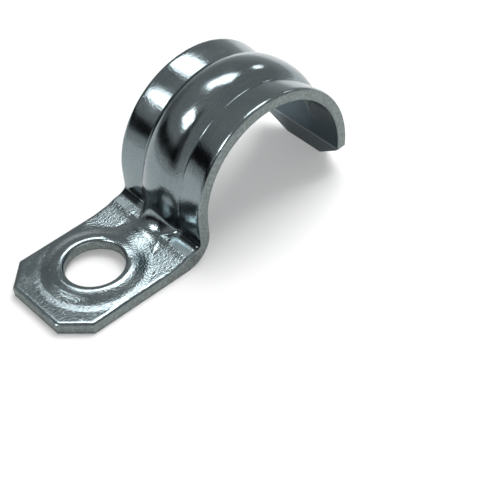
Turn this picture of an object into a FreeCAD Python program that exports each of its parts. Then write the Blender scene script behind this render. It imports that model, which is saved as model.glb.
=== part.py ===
"""One-hole conduit strap, pressed from one piece of steel sheet.

A flat foot with a raised bolt boss folds up into a short leg, the leg runs into an
arch that seats the conduit, and the arch ends in a small turned-out toe.  A bead runs
from the boss over the fold and along the arch, and sinks away before the toe.  Under
it the sheet is hollowed by a matching groove.

Frame: millimetres, +X from the foot's end towards the toe, +Y across the strap, +Z up.
The origin is the middle of the conduit's seat.  The sheet is laid out with the mounting
plane at height 0, and the finished strap is lowered by the seat's height.
"""

import FreeCAD, Part
import math
import os

Vector = FreeCAD.Vector

# Sheet
strap_width = 19.05
sheet_thickness = 1.9

# Conduit seat and leg
seat_radius = 13.6
seat_height = 6.8
fold_radius = 2.0
fold_back_radius = 5.0

# Foot
foot_reach = 40.3
foot_corner = 4.0

# Bolt hole and the boss around it
hole_reach = 28.8
hole_diameter = 9.5
boss_diameter = 17.0
boss_height = 0.85
rim_width = 0.9
dish_step = 0.4

# Bead on the outside, groove on the inside
bead_width = 9.0
bead_height = 0.9
bead_fold_radius = 3.5
bead_end_angle = 42.0
bead_sink_radius = 8.0
groove_width = 8.2
groove_floor_width = 3.4

# Toe
toe_wrap_angle = 7.0
toe_fold_radius = 1.5
toe_splay_angle = 15.7
toe_corner_along = 4.5
toe_corner_across = 5.6

# How far a cutting piece stands clear of the sheet
overrun = 0.5

# Points closer than this are one point
touching = 1e-6

leg_x = -(seat_radius + sheet_thickness)
boss_x = -hole_reach
rim_radius = hole_diameter / 2 + rim_width
bead_half = bead_width / 2
bead_fold_top = sheet_thickness + bead_height + bead_fold_radius
hole_radius = hole_diameter / 2
boss_radius = boss_diameter / 2
half_width = strap_width / 2
seat_centre = Vector(0, 0, seat_height)
across = Vector(0, 1, 0)
up = Vector(0, 0, 1)
right = Vector(1, 0, 0)


def polar(centre, radius, angle):
    """Return the point at a radius and an angle in degrees, turned from +X towards +Z."""
    turn = math.radians(angle)
    return centre + Vector(radius * math.cos(turn), 0, radius * math.sin(turn))


def arc(centre, radius, start, end):
    """Return the arc between two angles about a centre."""
    points = [polar(centre, radius, angle) for angle in (start, (start + end) / 2, end)]
    return Part.Arc(*points).toShape()


def line(start, end):
    """Return a straight edge."""
    return Part.LineSegment(start, end).toShape()


def chord_half(radius, distance):
    """Return half the chord of a circle at a distance from its centre."""
    return math.sqrt(radius ** 2 - distance ** 2)


def angle_opposite(far_side, first_side, second_side):
    """Return how far two lengths in line turn, in degrees, until their ends are far_side apart."""
    square = far_side ** 2 - first_side ** 2 - second_side ** 2
    return math.degrees(math.acos(square / (2 * first_side * second_side)))


def closed_face(edges):
    """Return the face inside edges that run one after another, joined by straight lines."""
    outline = []
    for edge, following in zip(edges, edges[1:] + edges[:1]):
        outline.append(edge)
        gap_start = edge.valueAt(edge.LastParameter)
        gap_end = following.valueAt(following.FirstParameter)
        if gap_start.distanceToPoint(gap_end) > touching:
            outline.append(line(gap_start, gap_end))
    return Part.Face(Part.Wire(outline))


def toe_frame():
    """Return the centre that the toe turns about, where its lip starts, and the lip's directions."""
    centre = polar(seat_centre, seat_radius + sheet_thickness + toe_fold_radius, -toe_wrap_angle)
    outward = polar(Vector(), 1, toe_splay_angle)
    along = polar(Vector(), 1, toe_splay_angle - 90)
    lip_start = centre - outward * (toe_fold_radius + sheet_thickness)
    return centre, lip_start, along, outward


def toe_end():
    """Return the toe's end on the underside, where it meets the mounting plane."""
    _, lip_start, along, _ = toe_frame()
    return lip_start + along * (lip_start.z / -along.z)


def plain_sheet():
    """Return the folded sheet without its bead: two bands and the strip between them.

    Each is the same side outline drawn out to its own width, so that each band of the seat
    keeps a face of its own.
    """
    toe_centre, _, _, outward = toe_frame()
    fold_centre = Vector(leg_x - fold_radius, 0, sheet_thickness + fold_radius)
    back_centre = Vector(-seat_radius - fold_back_radius, 0, fold_back_radius)
    toe_top = (180 - toe_wrap_angle, 180 + toe_splay_angle)
    face = closed_face([
        arc(back_centre, fold_back_radius, -90, 0),
        arc(seat_centre, seat_radius, 180, -toe_wrap_angle),
        arc(toe_centre, toe_fold_radius + sheet_thickness, *toe_top),
        line(toe_end(), toe_end() + outward * sheet_thickness),
        arc(toe_centre, toe_fold_radius, *reversed(toe_top)),
        arc(seat_centre, seat_radius + sheet_thickness, -toe_wrap_angle, 180),
        arc(fold_centre, fold_radius, 0, -90),
        line(Vector(-foot_reach, 0, sheet_thickness), Vector(-foot_reach, 0, 0)),
    ])
    seams = [-half_width, -groove_width / 2, groove_width / 2, half_width]
    strips = []
    for near, far in zip(seams, seams[1:]):
        outline = face.copy()
        outline.translate(across * near)
        strips.append(outline.extrude(across * (far - near)))
    return strips[0].fuse(strips[1:])


def bead_section(base, normal, depth):
    """Return the bead's section: a round crown over the sheet, rooted to a depth in it."""
    radius = (bead_half ** 2 + bead_height ** 2) / (2 * bead_height)
    root_half = chord_half(radius, radius - bead_height - depth)
    near_root = base - normal * depth - across * root_half
    far_root = base - normal * depth + across * root_half
    crown = Part.Arc(near_root, base + normal * bead_height, far_root).toShape()
    return Part.Face(Part.Wire([crown, line(far_root, near_root)]))


def groove_section(base, normal, depth):
    """Return the groove's section: a flat floor in the sheet, and slopes that open to a depth below."""
    floor_half = groove_floor_width / 2
    slope = (groove_width / 2 - floor_half) / bead_height
    mouth_half = groove_width / 2 + slope * depth
    corners = [
        base + normal * bead_height - across * floor_half,
        base + normal * bead_height + across * floor_half,
        base - normal * depth + across * mouth_half,
        base - normal * depth - across * mouth_half,
    ]
    return Part.Face(Part.makePolygon(corners + corners[:1]))


def along_strap(section, skin, fold_depth, depth):
    """Return the pieces that carry a section from the boss over the fold and along the arch.

    skin is how far the section's base lies from the sheet's underside.
    """
    fold_centre = Vector(leg_x - bead_height - bead_fold_radius, 0, bead_fold_top)
    foot_base = Vector(fold_centre.x, 0, skin)
    leg_base = Vector(-seat_radius - skin, 0, fold_centre.z)
    arch_base = Vector(-seat_radius - skin, 0, seat_height)
    sink_offset = seat_radius + sheet_thickness - bead_sink_radius
    sink_centre = polar(seat_centre, sink_offset, bead_end_angle)
    sink_reach = seat_radius + skin + bead_height - sink_offset
    sink_turn = angle_opposite(seat_radius + skin, sink_offset, sink_reach)
    end_base = polar(seat_centre, seat_radius + skin, bead_end_angle)
    end_normal = polar(Vector(), 1, bead_end_angle)
    return [
        section(Vector(boss_x, 0, skin), up, depth).extrude(right * (fold_centre.x - boss_x)),
        section(foot_base, up, fold_depth).revolve(fold_centre, across * -1, 90),
        section(leg_base, right * -1, depth).extrude(up * (seat_height - fold_centre.z)),
        section(arch_base, right * -1, depth).revolve(seat_centre, across, 180 - bead_end_angle),
        section(end_base, end_normal, depth).revolve(sink_centre, across, sink_turn),
    ]


def corner_cut(end, along, normal, side, run, reach):
    """Return a wedge that cuts one corner off the sheet's end, right through its thickness."""
    width = across * side
    corner = end + width * half_width - normal * overrun
    past = corner + (along + width) * overrun
    outline = [
        past,
        past - along * (run + overrun * (1 + run / reach)),
        past - width * (reach + overrun * (1 + reach / run)),
    ]
    face = Part.Face(Part.makePolygon(outline + outline[:1]))
    return face.extrude(normal * (sheet_thickness + 2 * overrun))


def boss_cone(base_radius, top_radius, base_z, depth):
    """Return a cone that narrows upwards over the boss's height, carried on below by a depth."""
    slope = (base_radius - top_radius) / boss_height
    base = Vector(boss_x, 0, base_z - depth)
    return Part.makeCone(base_radius + slope * depth, top_radius, boss_height + depth, base)


def build_strap():
    """Return the strap as one solid."""
    fold_gap = math.sqrt(2) * (bead_fold_radius + bead_height - fold_radius) + fold_radius - bead_fold_radius
    root = sheet_thickness / 4
    raised = along_strap(bead_section, sheet_thickness, fold_gap - bead_height + root, root)
    raised.append(boss_cone(boss_radius, rim_radius, sheet_thickness, 0))
    hollows = along_strap(groove_section, 0, fold_gap, overrun)
    hollows.append(boss_cone(boss_radius - dish_step, rim_radius + dish_step, 0, overrun))
    hollows.append(Part.makeCylinder(hole_radius, 4 * sheet_thickness, Vector(boss_x, 0, -sheet_thickness)))
    _, _, along, outward = toe_frame()
    foot_end = Vector(-foot_reach, 0, 0)
    for side in (-1, 1):
        hollows.append(corner_cut(foot_end, right * -1, up, side, foot_corner, foot_corner))
        hollows.append(corner_cut(toe_end(), along, outward, side, toe_corner_along, toe_corner_across))
    strap = plain_sheet().fuse(raised).cut(hollows).Solids[0]
    strap.translate(up * -seat_height)
    return strap


os.makedirs("parts", exist_ok=True)
build_strap().exportStep("parts/strap.step")
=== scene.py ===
"""A one-hole conduit strap pressed from one piece of zinc-plated steel sheet.

The strap starts as a flat blank and is folded and pressed by a Geometry Nodes tree.
Lengths in the size classes are millimetres; the finished piece is in metres.
"""

import logging
import math
from dataclasses import dataclass, field, fields
from enum import Enum
from typing import Any, Optional, Union

import bpy
import numpy as np
from mathutils import Matrix, Vector


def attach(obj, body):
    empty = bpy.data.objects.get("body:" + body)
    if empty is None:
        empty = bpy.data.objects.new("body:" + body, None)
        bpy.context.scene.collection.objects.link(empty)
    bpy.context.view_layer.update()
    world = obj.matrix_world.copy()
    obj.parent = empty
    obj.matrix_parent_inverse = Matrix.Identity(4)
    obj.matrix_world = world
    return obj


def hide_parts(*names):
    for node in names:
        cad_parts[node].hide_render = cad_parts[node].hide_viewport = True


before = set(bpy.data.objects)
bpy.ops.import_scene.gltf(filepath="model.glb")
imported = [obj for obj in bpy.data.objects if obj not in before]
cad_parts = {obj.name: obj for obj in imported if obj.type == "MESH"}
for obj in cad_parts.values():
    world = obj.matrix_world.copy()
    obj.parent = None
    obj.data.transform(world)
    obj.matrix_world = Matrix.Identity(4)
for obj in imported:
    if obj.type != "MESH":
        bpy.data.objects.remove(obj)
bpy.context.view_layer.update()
LOG = logging.getLogger("strap")
MM = 0.001
DEGREES = math.degrees(1.0)
RADIANS = math.radians(1.0)

# Millimetres of the blank in one unit of its UV map
MAP_SCALE = 20.0

# Places closer than this are one place, and no straight run is longer than ENDLESS
TOUCHING = 1e-6
ENDLESS = 50.0

WHITE = (1.0, 1.0, 1.0, 1.0)

Number = Union[float, "Wire"]
Triple = tuple[float, float, float]
Colour = tuple[float, float, float, float]
Paint = Union[Colour, bpy.types.NodeSocket]
Settings = Optional[dict[str, Any]]
Values = Optional[dict[Union[int, str], Any]]


class Skin(Enum):
    """A side of the sheet. The value is how far up through the sheet it lies."""

    UNDER = 0.0
    TOP = 1.0


class Border(Enum):
    """A cut edge of the sheet. The value is 1 where the metal lies within it and -1 where it lies around it."""

    OUTLINE = 1
    HOLE = -1


class Graph:
    """A node tree with one way of making nodes."""

    def __init__(self, tree: bpy.types.NodeTree) -> None:
        """Keep the tree and empty it.

        Args:
            tree: The shader or geometry tree to build in.
        """
        self.tree = tree
        tree.nodes.clear()

    def make(self, kind: str, settings: Settings = None, values: Values = None) -> bpy.types.Node:
        """Make a node.

        Args:
            kind: The node's type.
            settings: Properties set before anything is linked.
            values: What each input socket holds or is linked from, by name or number.

        Returns:
            The new node.
        """
        node = self.tree.nodes.new(kind)
        for name, value in (settings or {}).items():
            setattr(node, name, value)
        for key, value in (values or {}).items():
            value = value.socket if isinstance(value, Wire) else value
            if isinstance(value, bpy.types.NodeSocket):
                self.tree.links.new(value, node.inputs[key])
            else:
                node.inputs[key].default_value = value
        return node

    def wire(self, kind: str, settings: Settings = None, values: Values = None,
             output: Union[int, str] = 0) -> "Wire":
        """Make a node and return one of its outputs, by name or number, as a wire."""
        return Wire(self, self.make(kind, settings, values).outputs[output])

    def combine(self, x: Number, y: Number, z: Number) -> "Wire":
        """Join three numbers into a vector."""
        return self.wire("ShaderNodeCombineXYZ", None, {0: x, 1: y, 2: z})

    def split(self, vector: "Wire") -> tuple["Wire", "Wire", "Wire"]:
        """Take a vector apart into its three numbers."""
        x, y, z = self.make("ShaderNodeSeparateXYZ", None, {0: vector}).outputs
        return Wire(self, x), Wire(self, y), Wire(self, z)

    def tinted(self, factor: Number, low: Paint, high: Paint) -> bpy.types.NodeSocket:
        """Return one colour where a factor is 0 and another where it is 1."""
        return self.make("ShaderNodeMix", {"data_type": "RGBA"}, {"Factor": factor, 6: low, 7: high}).outputs[2]


@dataclass(frozen=True)
class Wire:
    """A number carried by an output socket, which can be used in sums that add nodes to a graph."""

    graph: Graph
    socket: bpy.types.NodeSocket

    def _math(self, operation: str, *operands: Number) -> "Wire":
        """Make one Math node from the operands."""
        return self.graph.wire("ShaderNodeMath", {"operation": operation}, dict(enumerate(operands)))

    def __add__(self, other: Number) -> "Wire":
        """Add."""
        return self._math("ADD", self, other)

    def __radd__(self, other: Number) -> "Wire":
        """Add, from the right."""
        return self._math("ADD", other, self)

    def __sub__(self, other: Number) -> "Wire":
        """Take away."""
        return self._math("SUBTRACT", self, other)

    def __rsub__(self, other: Number) -> "Wire":
        """Take away, from the right."""
        return self._math("SUBTRACT", other, self)

    def __mul__(self, other: Number) -> "Wire":
        """Multiply."""
        return self._math("MULTIPLY", self, other)

    def __rmul__(self, other: Number) -> "Wire":
        """Multiply, from the right."""
        return self._math("MULTIPLY", other, self)

    def __truediv__(self, other: Number) -> "Wire":
        """Divide."""
        return self._math("DIVIDE", self, other)

    def __rtruediv__(self, other: Number) -> "Wire":
        """Divide, from the right."""
        return self._math("DIVIDE", other, self)

    def __pow__(self, other: Number) -> "Wire":
        """Raise to a power."""
        return self._math("POWER", self, other)

    def __rpow__(self, other: Number) -> "Wire":
        """Raise to a power, from the right."""
        return self._math("POWER", other, self)

    def __neg__(self) -> "Wire":
        """Change the sign."""
        return self._math("MULTIPLY", self, -1.0)

    def __abs__(self) -> "Wire":
        """Drop the sign."""
        return self._math("ABSOLUTE", self)

    def sine(self) -> "Wire":
        """Return the sine."""
        return self._math("SINE", self)

    def cosine(self) -> "Wire":
        """Return the cosine."""
        return self._math("COSINE", self)

    def arcsine(self) -> "Wire":
        """Return the angle whose sine this is, in radians."""
        return self._math("ARCSINE", self)

    def arctangent(self, along: Number) -> "Wire":
        """Return the angle of a direction that goes this far across and another number along."""
        return self._math("ARCTAN2", self, along)

    def root(self) -> "Wire":
        """Return the square root."""
        return self._math("SQRT", self)

    def at_most(self, other: Number) -> "Wire":
        """Return the smaller of this and another number."""
        return self._math("MINIMUM", self, other)

    def at_least(self, other: Number) -> "Wire":
        """Return the larger of this and another number."""
        return self._math("MAXIMUM", self, other)

    def within(self, low: Number, high: Number) -> "Wire":
        """Hold the number between two limits."""
        return self.at_least(low).at_most(high)

    def eased(self) -> "Wire":
        """Rise smoothly from 0 to 1 while this goes from 0 to 1."""
        share = self.within(0.0, 1.0)
        return share * share * (3.0 - 2.0 * share)

    def joined(self, other: Number, rounding: Number) -> "Wire":
        """Return the larger of two numbers, rounded off where they are close."""
        overlap = (rounding - abs(self - other)).at_least(0.0)
        return self.at_least(other) + overlap * overlap / (4.0 * rounding)

    def blend(self, low: Number, high: Number) -> "Wire":
        """Return low where this is 0 and high where it is 1."""
        return low + self * (high - low)


def sine(angle: Number) -> Number:
    """Return the sine of a number or a wire."""
    return angle.sine() if isinstance(angle, Wire) else math.sin(angle)


def cosine(angle: Number) -> Number:
    """Return the cosine of a number or a wire."""
    return angle.cosine() if isinstance(angle, Wire) else math.cos(angle)


def placed(name: str, data: bpy.types.ID) -> bpy.types.Object:
    """Put a new object into the scene."""
    thing = bpy.data.objects.new(name, data)
    bpy.context.scene.collection.objects.link(thing)
    return thing


@dataclass(frozen=True)
class Band:
    """A band of a measure, in its unit: its middle, half its width, and how far it fades beyond."""

    middle: float
    half: float
    fade: float

    def laid(self, measure: Wire) -> Wire:
        """Return 1 inside the band, falling to 0 beyond it."""
        return (1.0 - (abs(measure - self.middle) - self.half) / self.fade).within(0.0, 1.0)


@dataclass(frozen=True)
class Ramp:
    """A rise over a measure, in its unit: where it starts, and how far and which way it runs."""

    start: float
    reach: float

    def laid(self, measure: Wire) -> Wire:
        """Return 0 before the start, easing to 1 at the end."""
        return ((measure - self.start) / self.reach).eased()


@dataclass(frozen=True)
class CutSizes:
    """The sizes of the blank's cut edges, hole and corners, in millimetres.

    bare_curve is how late the plating gives way to bare metal over a rolled edge.
    """

    foot_corner: float = 4.0
    toe_corner_along: float = 4.5
    toe_corner_across: float = 5.6
    hole_radius: float = 4.75
    rim_round: float = 0.45
    rim_drop: float = 0.4
    edge_round: float = 0.75
    edge_drop: float = 0.35
    edge_burr: float = 0.1
    bare_curve: int = 6


@dataclass(frozen=True)
class StrapSizes:
    """The sizes that the strap is folded and pressed to, in millimetres and degrees.

    They are numbers for the blank, and wires from the inputs of the tree that presses it.
    """

    width: Number = 19.05
    sheet: Number = 1.9
    seat_radius: Number = 13.6
    seat_height: Number = 6.8
    fold_radius: Number = 2.0
    fold_back_radius: Number = 5.0
    fold_span: Number = 4.5
    foot_reach: Number = 40.3
    hole_reach: Number = 28.8
    boss_radius: Number = 8.8
    boss_height: Number = 0.85
    boss_round: Number = 0.04
    rim_radius: Number = 5.65
    rim_crown: Number = 0.2
    dish_step: Number = 0.4
    fold_rise: Number = 0.6
    fold_rise_reach: Number = 4.6
    fold_rise_round: Number = 0.1
    bead_half: Number = 4.5
    bead_height: Number = 0.9
    bead_fold_radius: Number = 3.5
    bead_fade_angle: Number = 38.0
    bead_spread: Number = 2.6
    groove_half: Number = 4.4
    groove_floor: Number = 1.75
    groove_spread: Number = 1.6
    groove_round: Number = 0.08
    groove_curve: Number = 0.4
    waist_round: Number = 0.5
    band_dish: Number = 0.6
    band_dish_under: Number = 0.35
    band_dish_lead: Number = 2.0
    band_dish_run: Number = 7.0
    band_dish_curve: Number = 1.2
    band_dish_root: Number = 4.0
    toe_wrap: Number = 7.0
    toe_fold_radius: Number = 1.5
    toe_span: Number = 1.1
    toe_splay: Number = 15.7

    @property
    def hole_along(self) -> Number:
        """How far along the blank the hole's middle lies."""
        return self.foot_reach - self.hole_reach

    @property
    def fold_start(self) -> Number:
        """How far along the blank the bands start to fold up."""
        return self.foot_reach - self.seat_radius - self.sheet - self.fold_radius

    @property
    def seat_start(self) -> Number:
        """How far along the blank the seat starts."""
        return self.fold_start + self.fold_span + self.seat_height - self.sheet - self.fold_radius

    @property
    def toe_start(self) -> Number:
        """How far along the blank the toe starts to turn out."""
        return self.seat_start + (self.seat_radius + self.sheet) * (math.pi + self.toe_wrap * RADIANS)

    @property
    def length(self) -> Number:
        """How long the blank is, with its straight lip past the toe's turn."""
        wrap, splay = self.toe_wrap * RADIANS, self.toe_splay * RADIANS
        turned = self.toe_fold_radius + self.sheet
        height = self.seat_height - (self.seat_radius + turned) * sine(wrap) - turned * sine(splay)
        return self.toe_start + self.toe_span + height / cosine(splay)


@dataclass(frozen=True)
class Grid:
    """How finely the blank is divided: spacings and margins in millimetres, and counts."""

    hole_box: float = 6.75
    hole_cells: int = 54
    hole_rings: int = 14
    toe: float = 0.11
    root: float = 0.11
    fold: float = 0.17
    lip: float = 0.22
    foot: float = 0.25
    seat: float = 0.31
    fold_margin: float = 1.0
    toe_margin: float = 0.3
    groove_margin: float = 0.2
    bead_margin: float = 0.35
    edge_steps: int = 8
    rim_steps: int = 10
    wall_shares: Triple = (0.75, 0.5, 0.25)


@dataclass
class Blank:
    """The flat blank that the strap is folded from, cut to outline with its hole."""

    sizes: StrapSizes
    cut: CutSizes
    grid: Grid = field(default_factory=Grid)
    points: list[Triple] = field(default_factory=list)
    faces: list[tuple[int, ...]] = field(default_factory=list)
    sheared: list[float] = field(default_factory=list)

    @staticmethod
    def steps(stops: list[tuple[float, float]]) -> list[float]:
        """Space out stations between stops.

        Args:
            stops: The places to pass, each with the spacing wanted up to it.

        Returns:
            The stations, the stops among them.
        """
        stations = [stops[0][0]]
        for place, spacing in stops[1:]:
            start = stations[-1]
            count = max(1, round((place - start) / spacing))
            stations += [start + (place - start) * step / count for step in range(1, count + 1)]
        return stations

    @staticmethod
    def nearest(stations: list[float], place: float) -> int:
        """Return the number of the station closest to a place."""
        return min(range(len(stations)), key=lambda number: abs(stations[number] - place))

    def half_width(self, along: float, inset: float) -> float:
        """Return half the outline's width.

        Args:
            along: Distance from the foot's end.
            inset: How far the outline is drawn in on every side.

        Returns:
            Half the width there.
        """
        half, cut = self.sizes.width / 2, self.cut
        slope = cut.toe_corner_across / cut.toe_corner_along
        foot = half - cut.foot_corner + along - inset * math.sqrt(2)
        toe = half - cut.toe_corner_across + (self.sizes.length - along) * slope - inset * math.hypot(1, slope)
        return min(half - inset, foot, toe)

    def along_stops(self, inset: float) -> list[float]:
        """Return the places along the blank where the spacing changes.

        Args:
            inset: How far the outline is drawn in.

        Returns:
            The places in order.
        """
        sizes, cut, grid = self.sizes, self.cut, self.grid
        slope = cut.toe_corner_across / cut.toe_corner_along
        bead_fold = sizes.foot_reach - sizes.seat_radius - sizes.sheet - sizes.bead_fold_radius
        return [
            inset,
            cut.foot_corner + inset * (math.sqrt(2) - 1),
            sizes.hole_along - grid.hole_box,
            sizes.hole_along + grid.hole_box,
            bead_fold - grid.fold_margin,
            sizes.seat_start,
            sizes.toe_start - grid.toe_margin,
            sizes.length - cut.toe_corner_along - inset * (math.hypot(1, slope) - 1) / slope,
            sizes.toe_start + sizes.toe_span + grid.toe_margin,
            sizes.length - inset,
        ]

    def along_stations(self, inset: float) -> list[float]:
        """Return the grid's places along the blank, as many whatever the inset."""
        grid = self.grid
        hole = 2 * grid.hole_box / grid.hole_cells
        spacings = [0.0, grid.foot, grid.foot, hole, grid.foot, grid.fold, grid.seat, grid.toe, grid.toe, grid.lip]
        whole = self.along_stops(0.0)
        stations = self.steps(list(zip(whole, spacings)))
        return np.interp(stations, whole, self.along_stops(inset)).tolist()

    def across_stations(self, inset: float) -> list[float]:
        """Return the grid's places across the blank at its full width, as many whatever the inset."""
        sizes, grid = self.sizes, self.grid
        half = sizes.width / 2
        side = self.steps([
            (0.0, 0.0),
            (sizes.groove_floor - grid.groove_margin, grid.foot),
            (sizes.groove_floor + grid.groove_margin, grid.root),
            (sizes.bead_half - grid.bead_margin, grid.foot),
            (sizes.bead_half + grid.bead_margin, grid.root),
            (grid.hole_box, grid.foot),
            (half, grid.seat),
        ])
        side = np.interp(side, (0.0, grid.hole_box, half), (0.0, grid.hole_box, half - inset)).tolist()
        return [-place for place in reversed(side[1:])] + side

    def add(self, along: float, across: float, skin: float, sheared: float = 0.0) -> int:
        """Add a point.

        Args:
            along: Distance from the foot's end.
            across: Distance from the strap's middle line.
            skin: 0 on the underside and 1 on top, or a share between.
            sheared: 1 on a cut face.

        Returns:
            The point's number.
        """
        self.points.append((along, across, skin * self.sizes.sheet))
        self.sheared.append(sheared)
        return len(self.points) - 1

    def in_hole_box(self, along: float, across: float) -> bool:
        """Tell whether a place is within the square around the hole."""
        reach = self.grid.hole_box - TOUCHING
        return abs(along - self.sizes.hole_along) < reach and abs(across) < reach

    @staticmethod
    def around(rows: tuple[int, int], columns: tuple[int, int]) -> list[tuple[int, int]]:
        """Return the grid places round a block of the grid.

        Args:
            rows: The block's first and last row.
            columns: Its first and last column.

        Returns:
            The places in order.
        """
        (low_row, high_row), (low_column, high_column) = rows, columns
        places = [(row, low_column) for row in range(low_row, high_row)]
        places += [(high_row, column) for column in range(low_column, high_column)]
        places += [(row, high_column) for row in range(high_row, low_row, -1)]
        return places + [(low_row, column) for column in range(high_column, low_column, -1)]

    def lay_grid(self, rows: list[float], columns: list[float], skin: Skin,
                 inset: float) -> dict[tuple[int, int], int]:
        """Lay the grid of one side, all but the square around the hole.

        Args:
            rows: The grid's places along the blank.
            columns: The grid's places across it at full width.
            skin: The side.
            inset: How far the outline is drawn in.

        Returns:
            The point at each grid place.
        """
        full = self.sizes.width / 2 - inset
        number = {}
        for row, along in enumerate(rows):
            half = self.half_width(along, inset)
            for column, across in enumerate(columns):
                if not self.in_hole_box(along, across):
                    number[row, column] = self.add(along, across * half / full, skin.value)
        for row in range(len(rows) - 1):
            for column in range(len(columns) - 1):
                corners = [(row, column), (row + 1, column), (row + 1, column + 1), (row, column + 1)]
                middle = ((rows[row] + rows[row + 1]) / 2, (columns[column] + columns[column + 1]) / 2)
                if all(corner in number for corner in corners) and not self.in_hole_box(*middle):
                    self.quad([number[corner] for corner in corners], skin)
        return number

    def lay_rings(self, square: list[int], skin: Skin, radius: float) -> list[int]:
        """Lay the rings between the square around the hole and the hole's edge.

        Args:
            square: The square's points in order.
            skin: The side.
            radius: The last ring's radius.

        Returns:
            The last ring's points in order.
        """
        middle = np.array((self.sizes.hole_along, 0.0))
        start = np.array([self.points[point][:2] for point in square])
        away = start - middle
        end = middle + away * radius / np.linalg.norm(away, axis=1)[:, None]
        ring = square
        for step in range(1, self.grid.hole_rings + 1):
            places = start + step / self.grid.hole_rings * (end - start)
            following = [self.add(along, across, skin.value) for along, across in places]
            for k in range(len(ring)):
                after = (k + 1) % len(ring)
                self.quad([ring[k], ring[after], following[after], following[k]], skin)
            ring = following
        return ring

    def lay_skin(self, skin: Skin, inset: float, hole_inset: float) -> tuple[list[int], list[int]]:
        """Lay one side of the blank.

        Args:
            skin: The side.
            inset: How far the outline is drawn in for its rounded edge.
            hole_inset: How far the hole's edge is drawn back for its rounding.

        Returns:
            The outline's points and the hole's points, each in order.
        """
        rows, columns = self.along_stations(inset), self.across_stations(inset)
        number = self.lay_grid(rows, columns, skin, inset)
        middle, box = self.sizes.hole_along, self.grid.hole_box
        square = self.around((self.nearest(rows, middle - box), self.nearest(rows, middle + box)),
                             (self.nearest(columns, -box), self.nearest(columns, box)))
        hole = self.lay_rings([number[place] for place in square], skin, self.cut.hole_radius + hole_inset)
        outline = self.around((0, len(rows) - 1), (0, len(columns) - 1))
        return [number[place] for place in outline], hole

    def quad(self, corners: list[int], skin: Skin) -> None:
        """Add a face that looks up on top and down on the underside."""
        self.faces.append(tuple(corners if skin is Skin.TOP else corners[::-1]))

    def wall(self, top: list[int], under: list[int], border: Border) -> None:
        """Close a cut edge between the two sides, with a rolled upper corner and a small lower one.

        Args:
            top: The top side's border points in order.
            under: The underside's border points in order.
            border: Which edge it is.
        """
        sheet, cut, burr = self.sizes.sheet, self.cut, self.cut.edge_burr
        if border is Border.HOLE:
            roll, drop, steps = cut.rim_round, cut.rim_drop, self.grid.rim_steps
        else:
            roll, drop, steps = cut.edge_round, cut.edge_drop, self.grid.edge_steps
        inner = np.array([self.points[point][:2] for point in top])
        outward = self.outward(inner) * border.value
        outer = inner + outward * roll
        loops = [top]
        for turn in np.linspace(0.0, math.pi / 2, steps + 1)[1:]:
            height = 1 - drop * (1 - math.cos(turn)) / sheet
            bare = math.sin(turn) ** cut.bare_curve
            loops.append([self.add(x, y, height, bare) for x, y in inner + outward * roll * math.sin(turn)])
        low, high = burr / sheet, 1 - drop / sheet
        for share in self.grid.wall_shares:
            loops.append([self.add(x, y, low + share * (high - low), 1.0) for x, y in outer])
        for turn in (math.pi / 2, math.pi / 4):
            height = burr * (1 - math.cos(turn)) / sheet
            flat = outer - outward * burr * (1 - math.sin(turn))
            loops.append([self.add(x, y, height, 1.0) for x, y in flat])
        loops.append(under)
        for upper, lower in zip(loops, loops[1:]):
            for k in range(len(upper)):
                after = (k + 1) % len(upper)
                face = (upper[k], lower[k], lower[after], upper[after])
                self.faces.append(face[::-1] if border is Border.HOLE else face)

    @staticmethod
    def outward(flat: np.ndarray) -> np.ndarray:
        """Return each border point's outward direction, lengthened at corners to keep an even offset.

        Args:
            flat: The border's points in order.

        Returns:
            One direction for each point.
        """
        before = flat - np.roll(flat, 1, axis=0)
        after = np.roll(flat, -1, axis=0) - flat
        before /= np.linalg.norm(before, axis=1)[:, None]
        after /= np.linalg.norm(after, axis=1)[:, None]
        first = np.stack([before[:, 1], -before[:, 0]], axis=1)
        second = np.stack([after[:, 1], -after[:, 0]], axis=1)
        middle = first + second
        middle /= (1 + (first * second).sum(axis=1))[:, None]
        return middle

    def mesh(self) -> bpy.types.Mesh:
        """Return the blank as a mesh, with its cut faces and its underside marked."""
        cut = self.cut
        top_edge, top_hole = self.lay_skin(Skin.TOP, cut.edge_round, cut.rim_round)
        under_edge, under_hole = self.lay_skin(Skin.UNDER, cut.edge_burr, cut.edge_burr)
        self.wall(top_edge, under_edge, Border.OUTLINE)
        self.wall(top_hole, under_hole, Border.HOLE)
        mesh = bpy.data.meshes.new("strap_blank")
        mesh.from_pydata(self.points, [], self.faces)
        inside = [float(height < cut.edge_burr) for _, _, height in self.points]
        for name, values in (("sheared", self.sheared), ("inside", inside)):
            mesh.attributes.new(name, "FLOAT", "POINT").data.foreach_set("value", values)
        corners = np.array([loop.vertex_index for loop in mesh.loops])
        places = np.array(self.points)[corners][:, :2] / MAP_SCALE
        mesh.uv_layers.new(name="sheet").data.foreach_set("uv", places.ravel())
        return mesh


@dataclass
class Rail:
    """A line in side view, made of runs and turns: how far along the blank, and where that comes to lie."""

    along: Wire
    x: Number
    z: Number

    def run(self, start: Number, length: Number, heading: Number) -> None:
        """Go straight on.

        Args:
            start: How far along the blank the run starts.
            length: How long it is.
            heading: Its direction, in radians up from +X.
        """
        gone = (self.along - start).within(0.0, length)
        self.x = self.x + gone * cosine(heading)
        self.z = self.z + gone * sine(heading)

    def turn(self, start: Number, span: Number, radius: Number, first: Number, last: Number) -> None:
        """Turn from one heading to another.

        Args:
            start: How far along the blank the turn starts.
            span: How much of the blank it takes.
            radius: Its radius, negative to turn downwards.
            first: The heading before it.
            last: The heading after it.
        """
        share = ((self.along - start) / span).within(0.0, 1.0)
        heading = share * (last - first) + first
        self.x = self.x + radius * (sine(heading) - sine(first))
        self.z = self.z + radius * (cosine(first) - cosine(heading))


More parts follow.
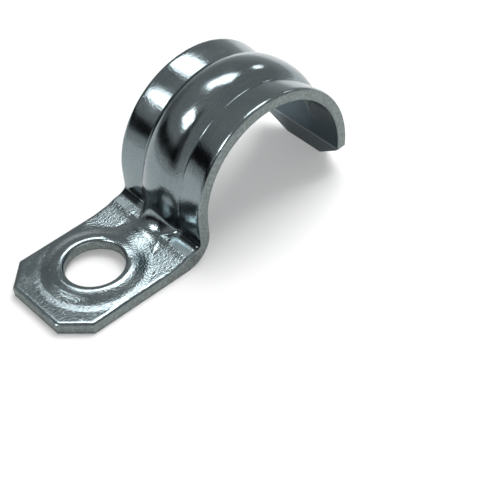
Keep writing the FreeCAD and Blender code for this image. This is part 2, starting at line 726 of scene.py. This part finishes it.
class PressTree:
    """The node tree that folds the blank over the conduit and presses its boss and bead."""

    def __init__(self, sizes: StrapSizes, finish: bpy.types.Material) -> None:
        """Build the tree.

        Args:
            sizes: The strap's sizes, which become the tree's named inputs.
            finish: The material set at the end.
        """
        self.tree = bpy.data.node_groups.new("press_strap", "GeometryNodeTree")
        self.graph = Graph(self.tree)
        sockets = self.tree.interface
        for end in ("INPUT", "OUTPUT"):
            sockets.new_socket("Geometry", in_out=end, socket_type="NodeSocketGeometry")
        for size in fields(sizes):
            sockets.new_socket(size.name, in_out="INPUT", socket_type="NodeSocketFloat")
        entry = self.graph.make("NodeGroupInput")
        self.size = StrapSizes(*(Wire(self.graph, entry.outputs[size.name]) for size in fields(sizes)))
        place = self.graph.wire("GeometryNodeInputPosition")
        self.along, self.across, height = self.graph.split(place)
        self.skin = height / self.size.sheet
        self.side = abs(self.across)
        moved = self.graph.make("GeometryNodeSetPosition", None, {
            "Geometry": entry.outputs["Geometry"], "Position": self.folded()})
        real = self.graph.make("GeometryNodeRealizeInstances", None, {0: moved.outputs[0]})
        dressed = self.graph.make("GeometryNodeSetMaterial", None, {
            "Geometry": real.outputs[0], "Material": finish})
        self.graph.make("NodeGroupOutput", None, {0: dressed.outputs[0]})

    def folded(self) -> Wire:
        """Return where each point of the blank ends up, in metres."""
        size = self.size
        under_lift = self.under_lift() / size.bead_height
        top_lift = self.top_lift() / size.bead_height
        band_under = self.rail(0.0, 0.0, size.fold_back_radius)
        band_top = self.rail(size.sheet, 0.0, size.fold_radius)
        crown_under = self.rail(0.0, size.bead_height, size.bead_fold_radius + size.sheet)
        crown_top = self.rail(size.sheet, size.bead_height, size.bead_fold_radius)
        under_x = under_lift.blend(band_under.x, crown_under.x)
        under_z = under_lift.blend(band_under.z, crown_under.z)
        top_x = top_lift.blend(band_top.x, crown_top.x)
        top_z = top_lift.blend(band_top.z, crown_top.z)
        x = self.skin.blend(under_x, top_x)
        z = self.skin.blend(under_z, top_z) - size.seat_height
        return self.graph.combine(x * MM, self.across * MM, z * MM)

    def rail(self, skin: Number, lift: Number, fold: Number) -> Rail:
        """Return the line that one skin follows.

        Args:
            skin: How far it lies above the underside.
            lift: How far it is raised by the bead.
            fold: Its radius at the fold between foot and leg.

        Returns:
            The finished line.
        """
        size = self.size
        level = skin + lift
        foot = size.foot_reach - size.seat_radius - level - fold
        leg = size.seat_height - level - fold
        seat, toe = size.seat_start, size.toe_start
        turned = size.seat_radius + level
        quarter = math.pi / 2
        down, out = -quarter - size.toe_wrap * RADIANS, size.toe_splay * RADIANS - quarter
        inner = size.toe_fold_radius + size.sheet - level
        rail = Rail(self.along, -size.foot_reach, level)
        rail.run(0.0, foot, 0.0)
        rail.turn(foot, seat - leg - foot, fold, 0.0, quarter)
        rail.run(seat - leg, leg, quarter)
        rail.turn(seat, toe - seat, -turned, quarter, down)
        rail.turn(toe, size.toe_span, inner, down, out)
        rail.run(toe + size.toe_span, ENDLESS, out)
        return rail

    def fade(self) -> Wire:
        """Return the share of its height that the bead keeps, 1 until it nears the toe."""
        size = self.size
        reach = (size.seat_radius + size.sheet) * size.bead_fade_angle * RADIANS
        return ((size.toe_start - self.along) / reach).eased()

    def hole_distance(self) -> Wire:
        """Return the distance from the bolt hole's middle."""
        gone = self.along - self.size.hole_along
        return (gone * gone + self.across * self.across).root()

    def before_bead(self) -> Wire:
        """Return how far short of the hole's middle a point lies, where there is no bead yet."""
        return (self.size.hole_along - self.along).at_least(0.0)

    def top_lift(self) -> Wire:
        """Return how far the top is raised by the boss, the bead and the swell before the fold."""
        size, from_hole = self.size, self.hole_distance()
        slope = ((size.boss_radius - from_hole) / (size.boss_radius - size.rim_radius)).at_most(1.0)
        past = (size.rim_radius - from_hole).at_least(0.0)
        boss = size.boss_height * (slope.eased() + slope.at_most(0.0)) - size.rim_crown * past * past
        fade = self.fade()
        half = size.bead_half + size.bead_spread * (1.0 - fade)
        ratio = self.side / half
        bead = size.bead_height * (1.0 - ratio * ratio) - self.before_bead()
        past_fold = (self.along - size.fold_start) / size.fold_rise_reach
        rise = (1.0 + past_fold).at_most(1.0).joined(0.0, size.fold_rise_round)
        swell = size.fold_rise * rise * (1.0 - past_fold).eased()
        raised = boss.joined(bead, size.waist_round).joined(0.0, size.boss_round)
        return raised.at_least(swell) * fade - self.dish(size.band_dish)

    def under_lift(self) -> Wire:
        """Return how far the underside is hollowed by the boss and the groove."""
        size = self.size
        base = size.boss_radius - size.dish_step
        rim = size.rim_radius + size.dish_step
        slope = ((base - self.hole_distance()) / (base - rim)).at_most(1.0)
        boss = size.boss_height * slope
        fade = self.fade()
        spread = 1.0 - fade
        half = size.groove_half + size.groove_spread * spread
        floor = size.groove_floor + size.groove_spread * 0.5 * spread
        share = ((half - self.side) / (half - floor)).at_most(1.0)
        groove = size.bead_height * share * abs(share) ** size.groove_curve - self.before_bead()
        hollow = boss.joined(groove, size.waist_round).joined(0.0, size.groove_round)
        return hollow * fade - self.dish(size.band_dish_under)

    def dish(self, depth: Wire) -> Wire:
        """Return how far the bands sink towards the bead on the arch.

        Args:
            depth: How deep they are where they meet the bead.

        Returns:
            The sink, 0 at the strap's edges and on the foot.
        """
        size = self.size
        half = size.bead_half
        across = ((self.side - half) / (size.width * 0.5 - half)).within(0.0, 1.0)
        root = (self.side / half).within(0.0, 1.0) ** size.band_dish_root
        raised = ((self.along - size.seat_start + size.band_dish_lead) / size.band_dish_run).eased()
        return depth * (1.0 - across) ** size.band_dish_curve * root * raised * self.fade()


@dataclass(frozen=True)
class Noise:
    """A noise pattern: how finely it is scaled, how many finer layers it has, and how strong they are."""

    scale: float
    detail: float
    roughness: float

    def laid(self, graph: Graph, place: Union[Wire, bpy.types.NodeSocket]) -> Wire:
        """Return the noise's value, laid out in some coordinates."""
        return graph.wire("ShaderNodeTexNoise", {"noise_dimensions": "3D"}, {
            "Vector": place, "Scale": self.scale, "Detail": self.detail, "Roughness": self.roughness})


@dataclass(frozen=True)
class Specks:
    """Small bright specks in the plating, in cells of which some hold one."""

    scale: float = 900.0
    radius: float = 0.16
    share_without: float = 0.72
    softness: float = 0.05

    def laid(self, graph: Graph, place: bpy.types.NodeSocket) -> Wire:
        """Return 1 in the middle of a speck and 0 between them."""
        cells = graph.make("ShaderNodeTexVoronoi", {"feature": "F1"}, {"Vector": place, "Scale": self.scale})
        chosen = graph.split(Wire(graph, cells.outputs["Color"]))[0]
        middle = (1.0 - Wire(graph, cells.outputs["Distance"]) / self.radius).within(0.0, 1.0)
        return middle * ((chosen - self.share_without) / self.softness).within(0.0, 1.0)


@dataclass(frozen=True)
class Relief:
    """How strongly a pattern stands out: on all the metal, and further where it is of some kind."""

    plain: float = 0.0
    foot: float = 0.0
    worked: float = 0.0
    pressed: float = 0.0
    sheared: float = 0.0

    def laid(self, pattern: Wire, coat: "Coat") -> Wire:
        """Return the height that the pattern adds, by the masks of the coat."""
        kinds = ((coat.foot, self.foot), (coat.worked, self.worked),
                 (coat.pressed, self.pressed), (coat.sheared, self.sheared))
        return pattern * sum((mask * weight for mask, weight in kinds if weight), self.plain)


class Coat:
    """The masks and patterns that the plating is painted with."""

    def __init__(self, graph: Graph, plate: "ZincPlate", hole_reach: float) -> None:
        """Lay out the masks and patterns.

        Args:
            graph: The material's graph.
            plate: The finish, which holds the places and patterns.
            hole_reach: How far the hole lies from the seat's middle, in millimetres.
        """
        place = graph.make("ShaderNodeTexCoord").outputs["Object"]
        x, y, _ = graph.split(Wire(graph, place))
        x, y = x / MM, y / MM
        run, side, _ = graph.split(graph.wire("ShaderNodeUVMap", {"uv_map": "sheet"}))
        run, side = run * MAP_SCALE, abs(side * MAP_SCALE)
        self.sheared = graph.wire("ShaderNodeAttribute", {"attribute_name": "sheared"}, None, "Fac")
        self.inside = graph.wire("ShaderNodeAttribute", {"attribute_name": "inside"}, None, "Fac")
        self.clouds = plate.clouds.laid(graph, place)
        self.spangle = plate.spangle.laid(graph, place)
        self.grain = plate.grain.laid(graph, place)
        self.pitting = plate.pitting.laid(graph, place)
        self.tearing = plate.torn_patches.laid(plate.tearing.laid(graph, place))
        streaked = graph.combine(run * plate.streaks_along, y * plate.streaks_across, 0.0)
        self.drawn = plate.streaks.laid(graph, streaked)
        self.foot = plate.foot.laid(x)
        self.specks = plate.specks.laid(graph, place) * self.foot.blend(plate.specks_off_foot, 1.0)
        beside_bead = plate.beside_bead.laid(side) * (1.0 - self.inside)
        # painted highlight: a light line along the toe's bend, on the underside
        self.painted_bend_highlight = plate.bend_highlight_band.laid(run).eased() * self.inside
        # painted shade: the fold's crease beside the bead darkened
        self.crease_shade_mask = plate.crease.laid(run).eased() * beside_bead
        self.strip = plate.strip.laid(run).eased() * beside_bead
        flats = self.foot * plate.before_boss.laid(x)
        self.pressed = flats * plate.on_bands.laid(side).blend(plate.pressed_on_bead, 1.0)
        from_hole = ((x + hole_reach) ** 2.0 + y ** 2.0).root()
        drawn_out = self.foot * plate.boss_slope.laid(from_hole).eased()
        self.worked = self.pressed.at_least(drawn_out * plate.worked_on_slope)


@dataclass(frozen=True)
class ZincPlate:
    """Bright blue-white zinc plating over pressed sheet, dull and rough where it was sheared.

    The underside is painted darker as shade, the fold's crease is painted near black as shade, and a
    painted highlight runs along the toe's bend. Bands and ramps are in millimetres: along X, out from
    the strap's middle line (beside_bead and on_bands), out from the hole's middle (boss_slope), or
    along the blank (strip, crease and bend_highlight_band).
    """

    name: str = "zinc_plate"
    bright: Colour = (0.255, 0.295, 0.305, 1.0)
    dull: Colour = (0.135, 0.178, 0.195, 1.0)
    # inner: painted shade, the underside tinted darker as if it stood in shadow
    inner: Colour = (0.08, 0.112, 0.128, 1.0)
    # colour of the painted highlight along the toe's bend
    painted_bend_highlight: Colour = (0.34, 0.38, 0.4, 1.0)
    # dark: colour of the painted shade in the fold's crease
    dark: Colour = (0.012, 0.016, 0.018, 1.0)
    torn: Colour = (0.175, 0.205, 0.2, 1.0)
    cut: Colour = (0.265, 0.305, 0.3, 1.0)
    bend_highlight_share: float = 0.8
    crease_shade_share: float = 0.9
    clouds_shine: float = 0.5
    spangle_shine: float = 0.9
    drawn_shine: float = 0.5
    shine_lowered: float = 0.45
    roughness: float = 0.095
    clouds_clear: float = 0.4
    clouds_roughness: float = 0.3
    inside_roughness: float = 0.1
    strip_roughness: float = 0.22
    cut_roughness: float = 0.5
    bump_strength: float = 0.7
    bump_distance: float = 0.00003
    clouds: Noise = Noise(260.0, 3.0, 0.55)
    spangle: Noise = Noise(4200.0, 1.0, 0.5)
    grain: Noise = Noise(9000.0, 2.0, 0.6)
    pitting: Noise = Noise(2900.0, 1.0, 0.5)
    tearing: Noise = Noise(1900.0, 4.0, 0.7)
    streaks: Noise = Noise(1.0, 2.0, 0.6)
    streaks_along: float = 0.15
    streaks_across: float = 5.5
    specks: Specks = Specks()
    specks_off_foot: float = 0.25
    torn_patches: Ramp = Ramp(0.4, 0.25)
    foot: Ramp = Ramp(-16.5, -2.0)
    before_boss: Ramp = Ramp(-26.5, 6.0)
    beside_bead: Ramp = Ramp(4.8, 0.8)
    on_bands: Ramp = Ramp(4.2, 0.6)
    pressed_on_bead: float = 0.2
    boss_slope: Band = Band(7.8, 0.8, 1.0)
    worked_on_slope: float = 0.7
    strip: Band = Band(23.7, 0.5, 0.4)
    # where the painted shade lies along the blank, in the fold's crease
    crease: Band = Band(26.2, 0.7, 0.5)
    # where the painted highlight lies along the blank, at the toe's bend
    bend_highlight_band: Band = Band(81.3, 0.0, 0.4)
    spangle_relief: Relief = Relief(0.4, foot=0.15, worked=1.2)
    grain_relief: Relief = Relief(0.2, foot=0.1, worked=0.8, sheared=0.5)
    pitting_relief: Relief = Relief(0.45, worked=2.3, pressed=0.6)
    tearing_relief: Relief = Relief(sheared=0.7)
    specks_relief: Relief = Relief(1.2)
    drawn_relief: Relief = Relief(0.35)

    def colour(self, graph: Graph, coat: Coat) -> bpy.types.NodeSocket:
        """Return the base colour.

        Args:
            graph: The material's graph.
            coat: Its masks and patterns.

        Returns:
            The colour's socket.
        """
        shine = coat.clouds * self.clouds_shine + coat.spangle * self.spangle_shine + coat.drawn * self.drawn_shine
        shine = (shine - self.shine_lowered + coat.specks).within(0.0, 1.0)
        plated = graph.tinted(shine, self.dull, self.bright)
        # painted shade: the underside darkened
        plated = graph.tinted(coat.inside, plated, self.inner)
        # painted highlight along the toe's bend
        plated = graph.tinted(coat.painted_bend_highlight * self.bend_highlight_share, plated, self.painted_bend_highlight)
        # painted shade in the fold's crease
        plated = graph.tinted(coat.crease_shade_mask * self.crease_shade_share, plated, self.dark)
        bare = graph.tinted(coat.tearing, self.torn, self.cut)
        return graph.tinted(coat.sheared, plated, bare)

    def gloss(self, coat: Coat) -> Wire:
        """Return the roughness."""
        rough = self.roughness + (coat.clouds - self.clouds_clear).at_least(0.0) * self.clouds_roughness
        rough = rough + coat.inside * self.inside_roughness + coat.strip * self.strip_roughness
        return rough + coat.sheared * (self.cut_roughness - self.roughness)

    def relief(self, coat: Coat) -> Wire:
        """Return the height of the fine relief, as a share of the bump's distance."""
        layers = (
            (coat.spangle, self.spangle_relief), (coat.grain, self.grain_relief),
            (coat.pitting, self.pitting_relief), (coat.tearing, self.tearing_relief),
            (coat.specks, self.specks_relief), (coat.drawn, self.drawn_relief))
        return sum(relief.laid(pattern, coat) for pattern, relief in layers)

    def material(self, hole_reach: float) -> bpy.types.Material:
        """Return the plating as a material.

        Args:
            hole_reach: How far the hole lies from the seat's middle, in millimetres.

        Returns:
            The material.
        """
        material = bpy.data.materials.new(self.name)
        material.use_nodes = True
        graph = Graph(material.node_tree)
        coat = Coat(graph, self, hole_reach)
        bump = graph.make("ShaderNodeBump", None, {
            "Strength": self.bump_strength, "Distance": self.bump_distance, "Height": self.relief(coat)})
        metal = graph.make("ShaderNodeBsdfPrincipled", None, {
            "Base Color": self.colour(graph, coat), "Metallic": 1.0,
            "Roughness": self.gloss(coat), "Normal": bump.outputs[0]})
        graph.make("ShaderNodeOutputMaterial", None, {0: metal.outputs[0]})
        return material


@dataclass
class Strap:
    """The pressed strap."""

    sizes: StrapSizes
    cut: CutSizes
    finish: ZincPlate

    def build(self) -> bpy.types.Object:
        """Return the strap, folded and pressed from its blank."""
        material = self.finish.material(self.sizes.hole_reach)
        blank = placed("strap_blank", Blank(self.sizes, self.cut).mesh())
        press = PressTree(self.sizes, material)
        modifier = blank.modifiers.new("press", "NODES")
        modifier.node_group = press.tree
        for item in press.tree.interface.items_tree:
            if item.in_out == "INPUT" and item.socket_type == "NodeSocketFloat":
                modifier[item.identifier] = getattr(self.sizes, item.name)
        made = blank.evaluated_get(bpy.context.evaluated_depsgraph_get())
        mesh = bpy.data.meshes.new_from_object(made)
        blank.modifiers.remove(modifier)
        bpy.data.objects.remove(blank)
        mesh.name = "pressed_strap"
        mesh.shade_smooth()
        piece = placed("pressed_strap", mesh)
        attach(piece, "root")
        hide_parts("strap")
        return piece


@dataclass(frozen=True)
class Softbox:
    """A soft lamp, by where it stands and how wide it looks from the strap: degrees, and metres away."""

    name: str
    azimuth: float
    elevation: float
    width: float
    height: float
    brightness: float
    mirrored: bool = True
    distance: float = 0.8

    def hang(self) -> bpy.types.Object:
        """Return the lamp, turned to face the strap.

        A mirrored lamp is a card that only the metal reflects; any other lamp only lights the floor.
        """
        turn, rise = math.radians(self.azimuth), math.radians(self.elevation)
        towards = Vector((math.cos(rise) * math.cos(turn), math.cos(rise) * math.sin(turn), math.sin(rise)))
        data = bpy.data.lights.new(self.name, "AREA")
        data.shape = "RECTANGLE"
        data.size = 2 * self.distance * math.tan(math.radians(self.width / 2))
        data.size_y = 2 * self.distance * math.tan(math.radians(self.height / 2))
        data.energy = self.brightness * math.pi * data.size * data.size_y
        lamp = placed(self.name, data)
        lamp.visible_diffuse = not self.mirrored
        lamp.visible_glossy = self.mirrored
        lamp.location = towards * self.distance
        lamp.rotation_euler = (-towards).to_track_quat("-Z", "Y").to_euler()
        return lamp


@dataclass(frozen=True)
class Room:
    """The room's light as the metal mirrors it: pale at the horizon, dimmer above, with dark parts.

    Bands and ramps are in degrees as seen from the strap, but those on height are in its sine.
    """

    horizon: float = 0.68
    ceiling: float = 0.42
    ceiling_height: Ramp = Ramp(0.0, 0.4)
    shade: float = 0.6
    shade_turn: Band = Band(100.0, 0.0, 34.0)
    shade_height: Band = Band(-1.0, 1.25, 0.3)
    card: float = 0.97
    card_turn: Band = Band(146.0, 34.0, 2.0)
    card_rise: Band = Band(16.0, 7.5, 1.5)
    card_slant: float = 0.1
    behind: float = 0.8
    behind_turn: Ramp = Ramp(162.0, 8.0)
    behind_rise: Band = Band(38.0, 30.0, 6.0)

    def build(self) -> None:
        """Set the world to this light, and to plain white where the camera sees it."""
        world = bpy.data.worlds.new("studio")
        bpy.context.scene.world = world
        world.use_nodes = True
        graph = Graph(world.node_tree)
        x, y, z = graph.split(Wire(graph, graph.make("ShaderNodeTexCoord").outputs["Generated"]))
        turn, rise = y.arctangent(x) * DEGREES, z.arcsine() * DEGREES
        shaded = self.shade_turn.laid(turn).eased() * self.shade_height.laid(z)
        slanted = rise - (turn - self.card_turn.middle) * self.card_slant
        carded = self.card_turn.laid(turn) * self.card_rise.laid(slanted)
        behind = self.behind_turn.laid(abs(turn)) * self.behind_rise.laid(rise).eased()
        level = self.ceiling_height.laid(z).blend(self.horizon, self.ceiling)
        for dark, place in ((self.shade, shaded), (self.card, carded), (self.behind, behind)):
            level = level * (1.0 - dark * place)
        seen = Wire(graph, graph.make("ShaderNodeLightPath").outputs["Is Camera Ray"])
        back = graph.make("ShaderNodeBackground", None, {"Color": WHITE, "Strength": seen.blend(level, 1.0)})
        graph.make("ShaderNodeOutputWorld", None, {0: back.outputs[0]})


@dataclass(frozen=True)
class PaleFloor:
    """A matt white floor: its height in millimetres, half its side in metres, and its own light."""

    height: float = -6.8
    half_side: float = 1.5
    white: Colour = (0.96, 0.96, 0.96, 1.0)
    seen_glow: float = 0.28
    mirrored_glow: float = 0.1

    def material(self) -> bpy.types.Material:
        """Return the floor's material, which glows a little to the camera and in the metal."""
        material = bpy.data.materials.new("pale_floor")
        material.use_nodes = True
        graph = Graph(material.node_tree)
        matt = graph.make("ShaderNodeBsdfDiffuse", None, {"Color": self.white})
        glow = graph.make("ShaderNodeEmission", None, {"Color": WHITE, "Strength": 1.0})
        path = graph.make("ShaderNodeLightPath")
        seen, glossy, through = (
            Wire(graph, path.outputs[f"Is {kind} Ray"]) for kind in ("Camera", "Glossy", "Transmission"))
        share = seen * self.seen_glow + glossy.at_least(through) * self.mirrored_glow
        shade = graph.make("ShaderNodeMixShader", None, {0: share, 1: matt.outputs[0], 2: glow.outputs[0]})
        graph.make("ShaderNodeOutputMaterial", None, {0: shade.outputs[0]})
        return material

    def build(self) -> bpy.types.Object:
        """Return the floor."""
        side = self.half_side
        corners = [(x, y, self.height * MM) for x, y in ((-side, -side), (side, -side), (side, side), (-side, side))]
        mesh = bpy.data.meshes.new("floor")
        mesh.from_pydata(corners, [], [(0, 1, 2, 3)])
        mesh.materials.append(self.material())
        floor = placed("floor", mesh)
        return floor


@dataclass(frozen=True)
class Studio:
    """The floor, the room, the soft lamps and the camera, whose place is in millimetres."""

    floor: PaleFloor = PaleFloor()
    room: Room = Room()
    sensor: float = 36.0
    lens: float = 99.15
    clip_start: float = 0.01
    eye: Triple = (-101.79, -132.09, 142.06)
    right: Triple = (0.7436, -0.6652, -0.0684)
    up: Triple = (0.50497, 0.49155, 0.70955)
    forward: Triple = (0.43828, 0.56211, -0.70138)
    lamps: tuple[Softbox, ...] = (
        Softbox("key_lamp", 151.5, 52.0, 20.0, 13.0, 15.0),
        Softbox("top_lamp", 42.0, 59.0, 14.0, 16.0, 8.0),
        Softbox("top_lamp_far", 67.0, 58.5, 16.0, 12.0, 8.0),
        Softbox("end_lamp", 21.5, 30.0, 7.0, 7.0, 8.0),
        Softbox("front_fill", -100.0, 20.0, 46.0, 22.0, 1.8),
        Softbox("floor_lamp", 14.0, 62.0, 40.0, 40.0, 7.0, mirrored=False),
    )

    def camera(self) -> bpy.types.Object:
        """Return the camera."""
        data = bpy.data.cameras.new("camera")
        data.sensor_width = self.sensor
        data.lens = self.lens
        data.clip_start = self.clip_start
        camera = placed("camera", data)
        turned = Matrix((self.right, self.up, [-part for part in self.forward])).transposed()
        camera.matrix_world = Matrix.Translation(Vector(self.eye) * MM) @ turned.to_4x4()
        bpy.context.scene.camera = camera
        return camera

    def build(self) -> None:
        """Set the floor, lamps, world and camera."""
        self.floor.build()
        for softbox in self.lamps:
            softbox.hang()
        self.room.build()
        self.camera()
        bpy.context.scene.view_settings.view_transform = "Standard"


def main() -> None:
    """Build the strap and the studio."""
    logging.basicConfig(level=logging.INFO)
    piece = Strap(StrapSizes(), CutSizes(), ZincPlate()).build()
    LOG.info("%s: %d faces", piece.name, len(piece.data.polygons))
    Studio().build()
    LOG.info("studio set")


if __name__ == "__main__":
    main()
